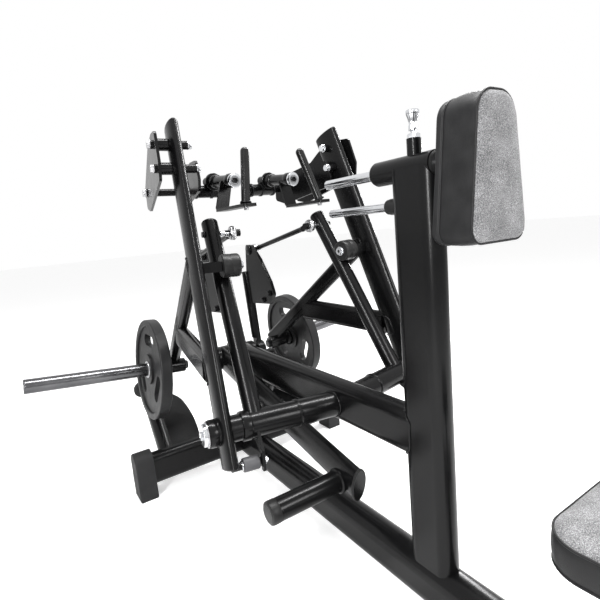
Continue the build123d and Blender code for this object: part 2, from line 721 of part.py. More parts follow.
# ---- Handle carriages and handles ----
handle_direction = Vector(0, cos(HANDLE_RISE), sin(HANDLE_RISE))
handle_plane = Plane(origin=HANDLE_BACK, x_dir=(1, 0, 0), z_dir=handle_direction)
with BuildPart() as carriage:
    barrel_plane = shifted(arm_plane(149), rod_shift)
    extrude(disc(barrel_plane, 21), amount=98)
    extrude(disc(handle_plane.offset(HANDLE_LONG + 1), 26), amount=9)
    extrude(disc(handle_plane.offset(HANDLE_LONG + 1), 16), amount=60)
    extrude(disc(handle_plane, HANDLE_PIN_R), amount=HANDLE_LONG + 12)
    extrude(disc(handle_plane.offset(-9), 20), amount=8.5)
    extrude(disc(barrel_plane.offset(-10), CROSS_ROD_R + RUNNING), amount=130, mode=Mode.SUBTRACT)
export_pair("carriage", carriage.part)

with BuildPart() as handle:
    extrude(disc(handle_plane, 17), amount=HANDLE_LONG)
    with BuildSketch(Plane.XZ.offset(-694)):
        with BuildLine():
            FilletPolyline(
                (HANDLE_AXIS_X - 20, 1112),
                (HANDLE_AXIS_X + 20, 1112),
                (HANDLE_AXIS_X + 46, 1022),
                (HANDLE_AXIS_X + 2, 1022),
                radius=6,
                close=True,
            )
        make_face()
    extrude(amount=-8)
    with BuildSketch(shifted(Plane.XY.offset(1016), (HANDLE_AXIS_X + 24, 600, 0))):
        RectangleRounded(42, 208, 8)
    extrude(amount=9)
    extrude(disc(handle_plane.offset(-5), HANDLE_PIN_R + RUNNING), amount=HANDLE_LONG + 10, mode=Mode.SUBTRACT)
export_pair("handle", handle.part)

grip_foot = (132, 528, 1025.2)
grip_top = (95, 570, 1194)
with BuildPart() as grip:
    extrude(disc(plane_between(grip_foot, grip_top, (1, 0, 0)).offset(-12), 13), amount=188)
    with BuildSketch(Plane.XY.offset(1025)):
        with Locations((grip_foot[0], grip_foot[1])):
            Rectangle(90, 90)
    extrude(amount=-40, mode=Mode.SUBTRACT)
export_pair("grip", grip.part)
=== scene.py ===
import json
import math

import bmesh
import bpy
from mathutils import Matrix, Vector, noise


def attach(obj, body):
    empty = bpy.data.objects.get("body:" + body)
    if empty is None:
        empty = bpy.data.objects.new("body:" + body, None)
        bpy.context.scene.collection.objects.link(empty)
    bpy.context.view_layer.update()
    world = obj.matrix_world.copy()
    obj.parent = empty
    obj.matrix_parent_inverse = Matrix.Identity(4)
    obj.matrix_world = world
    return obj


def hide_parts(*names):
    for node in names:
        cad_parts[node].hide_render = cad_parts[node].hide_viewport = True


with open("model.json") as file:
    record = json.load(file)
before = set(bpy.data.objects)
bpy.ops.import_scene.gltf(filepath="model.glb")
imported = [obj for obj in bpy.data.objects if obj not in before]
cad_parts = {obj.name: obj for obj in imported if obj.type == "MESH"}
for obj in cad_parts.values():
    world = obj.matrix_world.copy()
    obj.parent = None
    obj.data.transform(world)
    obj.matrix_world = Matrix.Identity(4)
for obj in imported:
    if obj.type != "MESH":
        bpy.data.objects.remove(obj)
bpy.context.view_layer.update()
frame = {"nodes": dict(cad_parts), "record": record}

# Places below are in millimetres from the column's foot, as the machine was laid out:
# X to the user's right, Y forwards, Z up. place() turns them into the model's metres.
MIDDLE_Y = 371.8

PIVOT = Vector((0, 318, 442))
SWEEP = math.radians(8.4)
RISE = math.radians(1.6)
OUT = Vector((math.cos(SWEEP) * math.cos(RISE), math.sin(SWEEP) * math.cos(RISE), math.sin(RISE)))
FORWARD = Vector((-math.sin(SWEEP), math.cos(SWEEP), 0))
UP = OUT.cross(FORWARD)

ACROSS = Vector((1, 0, 0))
AHEAD = Vector((0, 1, 0))
UPWARD = Vector((0, 0, 1))

# Distances out along the pivot axis.
STUB_END = 140
SLEEVE_END = 282
ARM_OUT = 348
HUB_FACE = 367.5
HUB_WASHER = 391
HUB_SCREW = 404
PLATE_OUTSIDE = 415
PLATE_NUTS = (311, 297)
BALL_OUT = 201
BALL_BOLT = 287
ROLLER_CAP = 220.5
CROSS_NUT = 412
CROSS_END = 136
BARREL = 149
TAIL_BOLT = 260

# Places in the arm's plane: forwards and up from the pivot.
BALL = (272, 498)
ROLLER = (159, 407)
BOLTS = ((279, 757), (253, 687))
CROSS_ROD = (512, 648)
TAIL_STOP = (-40, -85)
DIAGONAL_ENDS = ((182, 413), (757, 1))
BRACE_ENDS = ((100, 139), (505, 158))

# Sizes of the arm's tubes; the arm's own section is elliptical.
ARM_HALF_DEPTH = 50
ARM_HALF_THICK = 19.6
TUBE_THICK = 39
DIAGONAL_DEEP = 58.5
BRACE_DEEP = 82.5

# Layout points and directions of the handle, the weight horn, the beam and the foot lever.
HANDLE_BACK = Vector((108, 643, 1106))
HANDLE_ALONG = Vector((0, math.cos(math.radians(6)), math.sin(math.radians(6))))
GRIP_FOOT = Vector((132, 528, 1025.2))
GRIP_TOP = Vector((95, 570, 1194))
HORN_ROOT = Vector((222, 1090, 440))
HORN_ALONG = Vector((math.cos(math.radians(6)), 0, math.sin(math.radians(6))))
HORN_LONG = 535
WEIGHT_OUT = 84
BEAM_Z = 450
BEAM_ROUND = 30
SHAFT_Y = 1010
ROCKER_EYE = Vector((120, 988, 871))
ROCKER_MIDDLE_X = 100
ROCKER_BOLTS = ((852, 702), (905, 672))
FOOT_BAR = (250, 262)
LEVER_TOP = Vector((-66, SHAFT_Y, BEAM_Z))
LEVER_BACK = Vector((-66, 185, 268))
SIDES = (("right", 1), ("left", -1))


def mirrored(vector, side):
    return Vector((vector[0] * side, vector[1], vector[2]))


def place(point, side=1):
    """A layout point in the model's metres, mirrored for the left side."""
    return Vector((point[0] * side, point[1] - MIDDLE_Y, point[2])) / 1000


def arm_point(out, forward, up):
    """A layout point from offsets along the pivot axis and in the arm's plane."""
    return PIVOT + OUT * out + FORWARD * forward + UP * up


# ---- Materials ----
def start_material(name):
    material = bpy.data.materials.new(name)
    material.use_nodes = True
    tree = material.node_tree
    shader = tree.nodes["Principled BSDF"]
    coordinates = tree.nodes.new("ShaderNodeTexCoord")
    return material, tree, shader, coordinates.outputs["Object"]


def noise_node(tree, coordinates, scale, detail=3.0, roughness=0.5):
    node = tree.nodes.new("ShaderNodeTexNoise")
    node.inputs["Scale"].default_value = scale
    node.inputs["Detail"].default_value = detail
    node.inputs["Roughness"].default_value = roughness
    tree.links.new(coordinates, node.inputs["Vector"])
    return node.outputs["Fac"]


def ramp_node(tree, factor, stops):
    """A colour ramp: stops are (position, colour) pairs."""
    node = tree.nodes.new("ShaderNodeValToRGB")
    node.color_ramp.elements[0].position = stops[0][0]
    node.color_ramp.elements[0].color = (*stops[0][1], 1)
    node.color_ramp.elements[1].position = stops[-1][0]
    node.color_ramp.elements[1].color = (*stops[-1][1], 1)
    for position, colour in stops[1:-1]:
        element = node.color_ramp.elements.new(position)
        element.color = (*colour, 1)
    tree.links.new(factor, node.inputs["Fac"])
    return node.outputs["Color"]


def range_node(tree, value, low, high):
    node = tree.nodes.new("ShaderNodeMapRange")
    node.inputs["From Min"].default_value = 0.3
    node.inputs["From Max"].default_value = 0.7
    node.inputs["To Min"].default_value = low
    node.inputs["To Max"].default_value = high
    tree.links.new(value, node.inputs["Value"])
    return node.outputs["Result"]


def math_node(tree, operation, first, second=None):
    node = tree.nodes.new("ShaderNodeMath")
    node.operation = operation
    for socket, value in zip(node.inputs, (first, second)):
        if value is None:
            continue
        if isinstance(value, (int, float)):
            socket.default_value = value
        else:
            tree.links.new(value, socket)
    return node.outputs["Value"]


def bump(tree, shader, height, strength, depth):
    node = tree.nodes.new("ShaderNodeBump")
    node.inputs["Strength"].default_value = strength
    node.inputs["Distance"].default_value = depth
    tree.links.new(height, node.inputs["Height"])
    tree.links.new(node.outputs["Normal"], shader.inputs["Normal"])


def plain_finish(
    name, dark, light, rough, metallic=0.0, specular=0.5, coat=0.0, grain=600, grain_depth=0.0002,
    strength=0.25,
):
    """A finish with slight mottling in colour and gloss, and a fine surface grain."""
    material, tree, shader, coordinates = start_material(name)
    mottle = noise_node(tree, coordinates, 9, 5)
    colour = ramp_node(tree, mottle, ((0.3, dark), (0.7, light)))
    tree.links.new(colour, shader.inputs["Base Color"])
    smudges = noise_node(tree, coordinates, 26, 6, 0.6)
    tree.links.new(range_node(tree, smudges, *rough), shader.inputs["Roughness"])
    shader.inputs["Metallic"].default_value = metallic
    shader.inputs["Specular IOR Level"].default_value = specular
    shader.inputs["Coat Weight"].default_value = coat
    shader.inputs["Coat Roughness"].default_value = 0.12
    bump(tree, shader, noise_node(tree, coordinates, grain, 2), strength, grain_depth)
    return material


def fabric_finish(name):
    """Grey speckled upholstery with a fine crossing weave."""
    material, tree, shader, coordinates = start_material(name)
    split = tree.nodes.new("ShaderNodeSeparateXYZ")
    tree.links.new(coordinates, split.inputs["Vector"])
    across = math_node(tree, "SINE", math_node(tree, "MULTIPLY", split.outputs["X"], 3400))
    along = math_node(tree, "SINE", math_node(tree, "MULTIPLY", split.outputs["Z"], 3400))
    weave = math_node(tree, "MULTIPLY", across, along)
    specks = noise_node(tree, coordinates, 560, 3, 0.75)
    patches = noise_node(tree, coordinates, 16, 3)
    mixed = math_node(
        tree, "ADD", math_node(tree, "MULTIPLY", patches, 0.22),
        math_node(tree, "MULTIPLY", specks, 0.78),
    )
    stops = ((0.38, (0.035, 0.035, 0.037)), (0.5, (0.13, 0.13, 0.134)), (0.63, (0.36, 0.36, 0.365)))
    tree.links.new(ramp_node(tree, mixed, stops), shader.inputs["Base Color"])
    shader.inputs["Roughness"].default_value = 0.78
    shader.inputs["Sheen Weight"].default_value = 0.25
    shader.inputs["Sheen Roughness"].default_value = 0.4
    height = math_node(tree, "ADD", math_node(tree, "MULTIPLY", weave, 0.35), specks)
    bump(tree, shader, height, 0.5, 0.0006)
    return material


def vinyl_finish(name):
    """Black leather-grain vinyl."""
    material, tree, shader, coordinates = start_material(name)
    cells = tree.nodes.new("ShaderNodeTexVoronoi")
    cells.feature = "DISTANCE_TO_EDGE"
    cells.inputs["Scale"].default_value = 420
    tree.links.new(coordinates, cells.inputs["Vector"])
    mottle = noise_node(tree, coordinates, 30, 4)
    tree.links.new(
        ramp_node(tree, mottle, ((0.3, (0.006, 0.006, 0.0065)), (0.7, (0.012, 0.012, 0.0125)))),
        shader.inputs["Base Color"],
    )
    tree.links.new(range_node(tree, mottle, 0.42, 0.56), shader.inputs["Roughness"])
    shader.inputs["Specular IOR Level"].default_value = 0.25
    bump(tree, shader, cells.outputs["Distance"], 0.5, 0.0005)
    return material


BLACK = plain_finish(
    "paint_black", (0.0030, 0.0030, 0.0032), (0.0042, 0.0042, 0.0044), (0.2, 0.26), specular=0.2,
    grain=420, grain_depth=0.00006, strength=0.12,
)
FITTING = plain_finish(
    "steel_black_oxide", (0.008, 0.008, 0.009), (0.016, 0.016, 0.017), (0.26, 0.38), metallic=0.5,
    specular=0.3,
)
CHROME = plain_finish(
    "chrome", (0.62, 0.63, 0.65), (0.78, 0.79, 0.81), (0.07, 0.17), metallic=1.0, grain=1500,
    grain_depth=0.00005,
)
STEEL = plain_finish(
    "steel_brushed", (0.42, 0.42, 0.43), (0.56, 0.56, 0.57), (0.22, 0.36), metallic=1.0, grain=1400,
    grain_depth=0.0001,
)
RUBBER = plain_finish(
    "rubber_cover", (0.008, 0.008, 0.0085), (0.014, 0.014, 0.0145), (0.5, 0.66), specular=0.3,
    grain=900, grain_depth=0.0006, strength=0.4,
)
PLATE_RUBBER = plain_finish(
    "rubber_plate", (0.007, 0.007, 0.0075), (0.012, 0.012, 0.0125), (0.4, 0.52), specular=0.3,
    grain=700, grain_depth=0.0005, strength=0.35,
)
GRIP_RUBBER = plain_finish(
    "rubber_grip", (0.004, 0.004, 0.004), (0.006, 0.006, 0.006), (0.2, 0.28), specular=0.3, grain=700,
    grain_depth=0.0001,
)
# The horn is chrome, but its colour is darkened to a dark grey as a painted dark reflection. This stands in
# for dark surroundings, not for the white backdrop that the chrome reflects.
HORN_PAINTED_REFLECTION = plain_finish(
    "horn_chrome_painted_dark_reflection", (0.10, 0.10, 0.105), (0.16, 0.16, 0.165), (0.16, 0.28), metallic=1.0, grain=1200,
    grain_depth=0.00008,
)
PLASTIC = plain_finish(
    "plastic_black", (0.006, 0.006, 0.006), (0.01, 0.01, 0.01), (0.36, 0.5), specular=0.3,
)
GREY_RUBBER = plain_finish(
    "rubber_grey", (0.055, 0.055, 0.058), (0.085, 0.085, 0.09), (0.4, 0.55), specular=0.35, grain=900,
    grain_depth=0.0004,
)
FABRIC = fabric_finish("fabric_grey_speckled")
VINYL = vinyl_finish("vinyl_black")

SLOT_MATERIALS = {
    "black_paint": BLACK,
    "cover_rubber": RUBBER,
    "weight_rubber": PLATE_RUBBER,
    "grip_rubber": GRIP_RUBBER,
    "pad_fabric": FABRIC,
    "roller_plastic": PLASTIC,
    "bush_plastic": PLASTIC,
    "bright_chrome": CHROME,
    "rod_steel": BLACK,
}
for subpart in frame["record"]["subparts"]:
    node = frame["nodes"][subpart["node"]]
    node.data.materials.clear()
    finish = SLOT_MATERIALS[subpart["material_slot"]]
    # Horn parts get the darkened chrome: a painted dark reflection.
    node.data.materials.append(HORN_PAINTED_REFLECTION if subpart["node"].startswith("horn") else finish)


# ---- Mesh helpers ----
def finish_piece(name, mesh, materials, body, smooth=35):
    """Links a mesh as a piece that rides on a body."""
    for material in materials:
        mesh.materials.append(material)
    piece = bpy.data.objects.new(name, mesh)
    bpy.context.scene.collection.objects.link(piece)
    mesh.shade_smooth()
    mesh.set_sharp_from_angle(angle=math.radians(smooth))
    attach(piece, body)
    return piece


def axis_frame(origin, axis, side=1):
    """A matrix in metres whose Z is the axis and whose origin is the layout point."""
    direction = mirrored(axis, side).normalized()
    helper = UPWARD if abs(direction.z) < 0.9 else AHEAD
    across = helper.cross(direction).normalized()
    third = direction.cross(across)
    spin = Matrix((across, third, direction)).transposed().to_4x4()
    return Matrix.Translation(place(origin, side)) @ spin


def turned(
    name, origin, axis, profile, material, body, side=1, flutes=0, flute_depth=0.0,
    segments=48,
):
    """A turned piece: profile is (radius, height) pairs in millimetres along the axis."""
    bm = bmesh.new()
    matrix = axis_frame(origin, axis, side)
    rings = []
    for radius, height in profile:
        if radius == 0:
            rings.append([bm.verts.new(matrix @ Vector((0, 0, height / 1000)))])
            continue
        loop = []
        for step in range(segments):
            angle = 2 * math.pi * step / segments
            swell = radius - flute_depth * (0.5 + 0.5 * math.cos(flutes * angle)) if flutes else radius
            spot = Vector((swell * math.cos(angle), swell * math.sin(angle), height)) / 1000
            loop.append(bm.verts.new(matrix @ spot))
        rings.append(loop)
    for first, second in zip(rings, rings[1:]):
        if len(first) == 1 and len(second) == 1:
            continue
        for step in range(segments):
            after = (step + 1) % segments
            if len(first) == 1:
                bm.faces.new((first[0], second[step], second[after]))
            elif len(second) == 1:
                bm.faces.new((first[step], first[after], second[0]))
            else:
                bm.faces.new((first[step], first[after], second[after], second[step]))
    bmesh.ops.recalc_face_normals(bm, faces=bm.faces)
    mesh = bpy.data.meshes.new(name)
    bm.to_mesh(mesh)
    bm.free()
    return finish_piece(name, mesh, [material], body)


HEX_STEPS = 36
BEAD_STEPS = 8


def hex_head(name, origin, axis, across, high, material, body, side=1, socket=0.0, washer=0.0):
    """A hexagon head with chamfered corners, an optional washer under it and a hexagon socket."""
    bm = bmesh.new()
    matrix = axis_frame(origin, axis, side)

    def loop(radius, height, sides_power):
        """A ring of points between a circle (0) and a hexagon (1)."""
        points = []
        for step in range(HEX_STEPS):
            angle = 2 * math.pi * step / HEX_STEPS
            to_flat = (angle % (math.pi / 3)) - math.pi / 6
            hexagon = math.cos(math.pi / 6) / math.cos(to_flat)
            scale = radius * (sides_power * hexagon + (1 - sides_power))
            points.append(
                bm.verts.new(
                    matrix @ (Vector((scale * math.cos(angle), scale * math.sin(angle), height)) / 1000)
                )
            )
        return points

    corner = across / 2 / math.cos(math.pi / 6)
    base = 0.0
    rings = []
    if washer:
        rings += [loop(washer, 0.0, 0), loop(washer, 1.6, 0), loop(washer - 0.5, 2.1, 0)]
        base = 2.1
    rings += [
        loop(corner, base + 0.1, 1),
        loop(corner, high + base - corner * 0.12, 1),
        loop(corner * 0.9, high + base, 0.25),
    ]
    if socket:
        inner = socket / 2 / math.cos(math.pi / 6)
        rings += [
            loop(inner * 1.1, high + base, 0.6),
            loop(inner, high + base - 0.8, 1),
            loop(inner, base + 1, 1),
        ]
    for first, second in zip(rings, rings[1:]):
        for step in range(HEX_STEPS):
            after = (step + 1) % HEX_STEPS
            bm.faces.new((first[step], first[after], second[after], second[step]))
    bm.faces.new(rings[-1])
    bm.faces.new(tuple(reversed(rings[0])))
    bmesh.ops.recalc_face_normals(bm, faces=bm.faces)
    mesh = bpy.data.meshes.new(name)
    bm.to_mesh(mesh)
    bm.free()
    return finish_piece(
        name, mesh, [material], body,
    )


def bead(name, points, radius, material, body, side=1, ripple=0.18):
    """A closed weld bead, seam cord or ring through layout points, with a slight ripple."""
    bm = bmesh.new()
    path = [place(point, side) for point in points]
    count = len(path)
    rings = []
    for step, centre in enumerate(path):
        before = path[step - 1]
        after = path[(step + 1) % count]
        along = (after - before).normalized()
        helper = Vector((0.13, 0.27, 0.95)) if abs(along.z) < 0.8 else Vector((0.95, 0.2, 0.1))
        across = along.cross(helper).normalized()
        third = along.cross(across)
        size = radius / 1000 * (1 + ripple * math.sin(step * 1.9))
        rings.append([
            bm.verts.new(centre + (across * math.cos(turn) + third * math.sin(turn)) * size)
            for turn in [2 * math.pi * k / BEAD_STEPS for k in range(BEAD_STEPS)]
        ])
    for first, second in zip(rings, rings[1:] + rings[:1]):
        shift = 0
        if first is rings[-1]:
            shift = min(range(BEAD_STEPS), key=lambda k: (second[k].co - first[0].co).length)
        for step in range(BEAD_STEPS):
            after = (step + 1) % BEAD_STEPS
            far_after = second[(after + shift) % BEAD_STEPS]
            far_step = second[(step + shift) % BEAD_STEPS]
            bm.faces.new((first[step], first[after], far_after, far_step))
    bmesh.ops.recalc_face_normals(bm, faces=bm.faces)
    mesh = bpy.data.meshes.new(name)
    bm.to_mesh(mesh)
    bm.free()
    return finish_piece(name, mesh, [material], body, 60)


# ---- Cushions ----
def rounded_outline(half_low, half_high, low, high, rounding_low, rounding_high, count=160):
    """Evenly spaced points round a trapezium with round corners: (across, up, corner nearness)."""
    corners = (
        (Vector((half_low, low)), rounding_low),
        (Vector((half_high, high)), rounding_high),
        (Vector((-half_high, high)), rounding_high),
        (Vector((-half_low, low)), rounding_low),
    )
    dense = []
    for index in range(4):
        before = corners[index - 1][0]
        here, rounding = corners[index]
        after = corners[(index + 1) % 4][0]
        first = (before - here).normalized()
        second = (after - here).normalized()
        half_angle = math.acos(max(-1, min(1, first.dot(second)))) / 2
        reach = rounding / math.tan(half_angle)
        centre = here + (first + second).normalized() * rounding / math.sin(half_angle)
        start = here + first * reach - centre
        end = here + second * reach - centre
        sweep = start.angle_signed(end)
        for step in range(17):
            turn = -sweep * step / 16
            spun = Vector((
                start.x * math.cos(turn) - start.y * math.sin(turn),
                start.x * math.sin(turn) + start.y * math.cos(turn),
            ))
            dense.append(centre + spun)
    lengths = [(dense[(i + 1) % len(dense)] - dense[i]).length for i in range(len(dense))]
    total = sum(lengths)
    points = []
    index, walked = 0, 0.0
    for step in range(count):
        goal = total * step / count
        while walked + lengths[index] < goal:
            walked += lengths[index]
            index += 1
        share = (goal - walked) / lengths[index]
        points.append(dense[index].lerp(dense[(index + 1) % len(dense)], share))
    return points


FACE_EDGE = 1.8


def cushion(name, outline, matrix, thick, crown, body, replaced):
    """A stuffed pad: outline in the matrix's X and Y, face towards its Z. Sides bulge, the face is
    crowned, and both seams are drawn in with a cord of piping."""
    centre = sum(outline, Vector((0, 0))) / len(outline)
    bm = bmesh.new()
    levels = (
        (0.90, 0.0),
        (0.975, 0.5),
        (0.988, 4),
        (1.0, 0.22 * thick),
        (1.006, 0.45 * thick),
        (1.0, 0.68 * thick),
        (0.985, thick - 11),
        (0.972, thick - 8.5),
        (0.955, thick - 5),
        (0.90, thick - FACE_EDGE),
    )
    inner = (0.8, 0.66, 0.5, 0.34, 0.18, 0.07)
    rings = list(levels)
    for scale in inner:
        rings.append((scale, thick - FACE_EDGE + crown * (1 - scale * scale)))
    loops = []
    for scale, height in rings:
        loop = []
        for step, point in enumerate(outline):
            flat = centre + (point - centre) * scale
            soft = noise.noise(Vector((flat.x * 0.02, flat.y * 0.02, height * 0.03 + 7)))
            pucker = 0.5 * math.sin(step * 1.31) if 0.96 < scale < 0.99 and height > 10 else 0.0
            push = (soft * 1.1 + pucker * 0.5) if height > 5 else 0.0
            outward = (point - centre).normalized()
            lift = soft * 0.7 if scale < 0.9 else 0
            where = Vector(
                (flat.x + outward.x * push * 0.7, flat.y + outward.y * push * 0.7, height + lift)
            )
            loop.append(bm.verts.new(matrix @ (where / 1000)))
        loops.append(loop)
    hub = bm.verts.new(matrix @ (Vector((centre.x, centre.y, thick - FACE_EDGE + crown)) / 1000))
    count = len(outline)
    for number, (first, second) in enumerate(zip(loops, loops[1:])):
        for step in range(count):
            after = (step + 1) % count
            face = bm.faces.new((first[step], first[after], second[after], second[step]))
            face.material_index = 0 if number >= 7 else 1
    for step in range(count):
        bm.faces.new((loops[-1][step], loops[-1][(step + 1) % count], hub))
    back = bm.faces.new(tuple(reversed(loops[0])))
    back.material_index = 1
    bmesh.ops.recalc_face_normals(bm, faces=bm.faces)
    mesh = bpy.data.meshes.new(name)
    bm.to_mesh(mesh)
    bm.free()
    pad = finish_piece(name, mesh, [FABRIC, VINYL], body, 80)
    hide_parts(replaced)
    for seam, scale, height in (("front", 0.982, thick - 8.8), ("back", 0.985, 2.6)):
        cord = []
        for point in outline:
            flat = centre + (point - centre) * scale
            spot = matrix @ (Vector((flat.x, flat.y, height)) / 1000)
            cord.append(Vector((spot.x * 1000, spot.y * 1000 + MIDDLE_Y, spot.z * 1000)))
        bead(f"{name}_piping_{seam}", cord, 2.3, VINYL, body, ripple=0.0)
    return pad


chest_frame = Matrix.Translation(place((0, -110, 0))) @ Matrix.Rotation(math.radians(90), 4, "X")
chest_outline = rounded_outline(82, 50, 886.5, 1149.5, 26, 42)
cushion("chest_cushion", chest_outline, chest_frame, 80, 5, "chest", "chest_pad")


def board(name, outline, matrix, levels, body):
    """A flat backing board with rounded edges: levels are (inset, height) pairs."""
    centre = sum(outline, Vector((0, 0))) / len(outline)
    bm = bmesh.new()
    loops = []
    for inset, height in levels:
        loop = []
        for point in outline:
            flat = point - (point - centre).normalized() * inset
            loop.append(bm.verts.new(matrix @ (Vector((flat.x, flat.y, height)) / 1000)))
        loops.append(loop)
    count = len(outline)
    for first, second in zip(loops, loops[1:]):
        for step in range(count):
            after = (step + 1) % count
            bm.faces.new((first[step], first[after], second[after], second[step]))
    bm.faces.new(tuple(reversed(loops[0])))
    bm.faces.new(loops[-1])
    bmesh.ops.recalc_face_normals(bm, faces=bm.faces)
    mesh = bpy.data.meshes.new(name)
    bm.to_mesh(mesh)
    bm.free()
    return finish_piece(name, mesh, [VINYL], body, 50)


board(
    "chest_board", chest_outline, chest_frame,
    ((5, -13), (2.6, -12.2), (1.6, -10), (1.6, -2.5), (3, -0.4), (5, 0)), "chest",
)
seat_frame = Matrix.Translation(place((0, -440, 400)))
seat_outline = rounded_outline(126, 134, -124, 124, 50, 60)
cushion("seat_cushion", seat_outline, seat_frame, 62, 8, "seat", "seat_pad")

# ---- Pull pins ----
pin_profile = (
    (
        0, 13), (4.6, 13.5), (4.9, 14), (4.9, 58.2), (11.5, 58.4), (12.2, 59.2), (12.2, 66.6), (11.4,
        67.4), (6, 67.6,
    ),
    (
        5.4, 72), (9.2, 73), (9.6, 75), (9.6, 83), (8.6, 85.5), (8.8, 90), (10.4, 97), (12.6,
        104), (13.8, 106.5,
    ),
    (13.9, 112), (13, 113.8), (11, 114.2), (9.4, 113.4), (0, 113.2),
)
pad_knob = turned(
    "pad_pin_knob", (0, 5, 1046), UPWARD, pin_profile, CHROME, "chest_pin", flutes=12,
    flute_depth=0.7, segments=96,
)
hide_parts("pad_pin")
hex_head("pad_pin_nut", (0, 5, 1104), UPWARD, 24, 9, CHROME, "frame")
seat_pin_profile = (
    (
        0, 28.5), (4.9, 29), (4.9, 62.8), (9.5, 63), (10, 64), (10, 76), (6, 77), (6, 80), (12,
        82), (13.9, 86,
    ),
    (13.9, 94), (12, 99), (0, 99.8),
)
seat_knob = turned(
    "seat_pin_knob", (0, -440, 310), -AHEAD, seat_pin_profile, CHROME, "seat_height_pin",
    flutes=10, flute_depth=0.7, segments=80,
)
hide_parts("seat_pin")

# ---- Chest pad rods ----
turned(
    "upper_rod_gland", (0, 113, 1046), AHEAD,
    ((12.3, 0), (24, 0), (24.5, 1), (24.5, 5), (22, 7.5), (12.3, 7.5), (12.3, 0)), PLASTIC, "frame",
)
turned(
    "lower_rod_gland", (0, 78, 971), AHEAD,
    ((10.3, 0), (16, 0), (16.5, 1), (16.5, 8), (14.5, 10), (10.3, 10), (10.3, 0)), PLASTIC, "frame",
)
turned(
    "sleeve_rear_gland", (0, -50, 1046), -AHEAD,
    ((12.3, 0), (24, 0), (24.5, 1), (24.5, 4), (22, 6), (12.3, 6), (12.3, 0)), PLASTIC, "frame",
)


# ---- Weld beads ----
def stub_weld(side):
    """The seam where the pivot stub meets the beam's oval side."""
    points = []
    for step in range(72):
        angle = 2 * math.pi * step / 72
        rim = PIVOT + (FORWARD * math.cos(angle) + UP * math.sin(angle)) * 35.6
        over = max(0, abs(rim.z - BEAM_Z) - BEAM_ROUND)
        surface = math.sqrt(max(1, BEAM_ROUND**2 - over**2)) + 0.6
        points.append(rim + OUT * ((surface - rim.x) / OUT.x))
    return points


def beam_weld():
    """The seam where the beam meets the column's round front."""
    points = []
    grow = 1.02
    for step in range(96):
        angle = 2 * math.pi * step / 96
        half = Vector((math.cos(angle) * BEAM_ROUND, math.sin(angle) * BEAM_ROUND))
        x = half.x
        z = BEAM_Z + half.y + (BEAM_ROUND if half.y > 0 else -BEAM_ROUND)
        y = BEAM_ROUND + math.sqrt(max(0, BEAM_ROUND**2 - x * x))
        points.append(Vector((x * grow, y + 1.2, BEAM_Z + (z - BEAM_Z) * grow)))
    return points


for side_name, side in SIDES:
    bead(f"weld_stub_{side_name}", stub_weld(side), 3.2, BLACK, "frame", side)
bead("weld_beam", beam_weld(), 3.0, BLACK, "frame")


def oval_ring(centre, along, thin_axis, thin, deep, cut, count=72):
    """Points round a flat-oval tube, each moved along it by cut(x, y)."""
    along = along.normalized()
    across = thin_axis.normalized()
    tall = along.cross(across).normalized()
    points = []
    straight = deep / 2 - thin / 2
    for step in range(count):
        angle = 2 * math.pi * step / count
        x = math.cos(angle) * thin / 2
        y = math.sin(angle) * thin / 2 + (straight if math.sin(angle) >= 0 else -straight)
        points.append(centre + across * x + tall * y + along * cut(x, y))
    return points


def in_plane(forward, up):
    """A point in the arm's middle plane."""
    return arm_point(ARM_OUT, forward, up)


arm_lean = math.radians(20.2)
arm_along = FORWARD * math.sin(arm_lean) + UP * math.cos(arm_lean)
arm_square = FORWARD * math.cos(arm_lean) - UP * math.sin(arm_lean)
diagonal_top = in_plane(*DIAGONAL_ENDS[0])
diagonal_along = (in_plane(*DIAGONAL_ENDS[1]) - diagonal_top).normalized()
brace_top = in_plane(*BRACE_ENDS[0])
brace_along = (in_plane(*BRACE_ENDS[1]) - brace_top).normalized()


def arm_face(tube_along):
    """How far along a tube it leaves the arm's elliptical side, for a point off its centre line."""
    lean = tube_along.dot(arm_square)

    def cut(x, y):
        reach = ARM_HALF_DEPTH * math.sqrt(max(0, 1 - (x / ARM_HALF_THICK) ** 2))
        tall = tube_along.cross(OUT).normalized()
        return (reach - tall.dot(arm_square) * y) / lean

    return cut


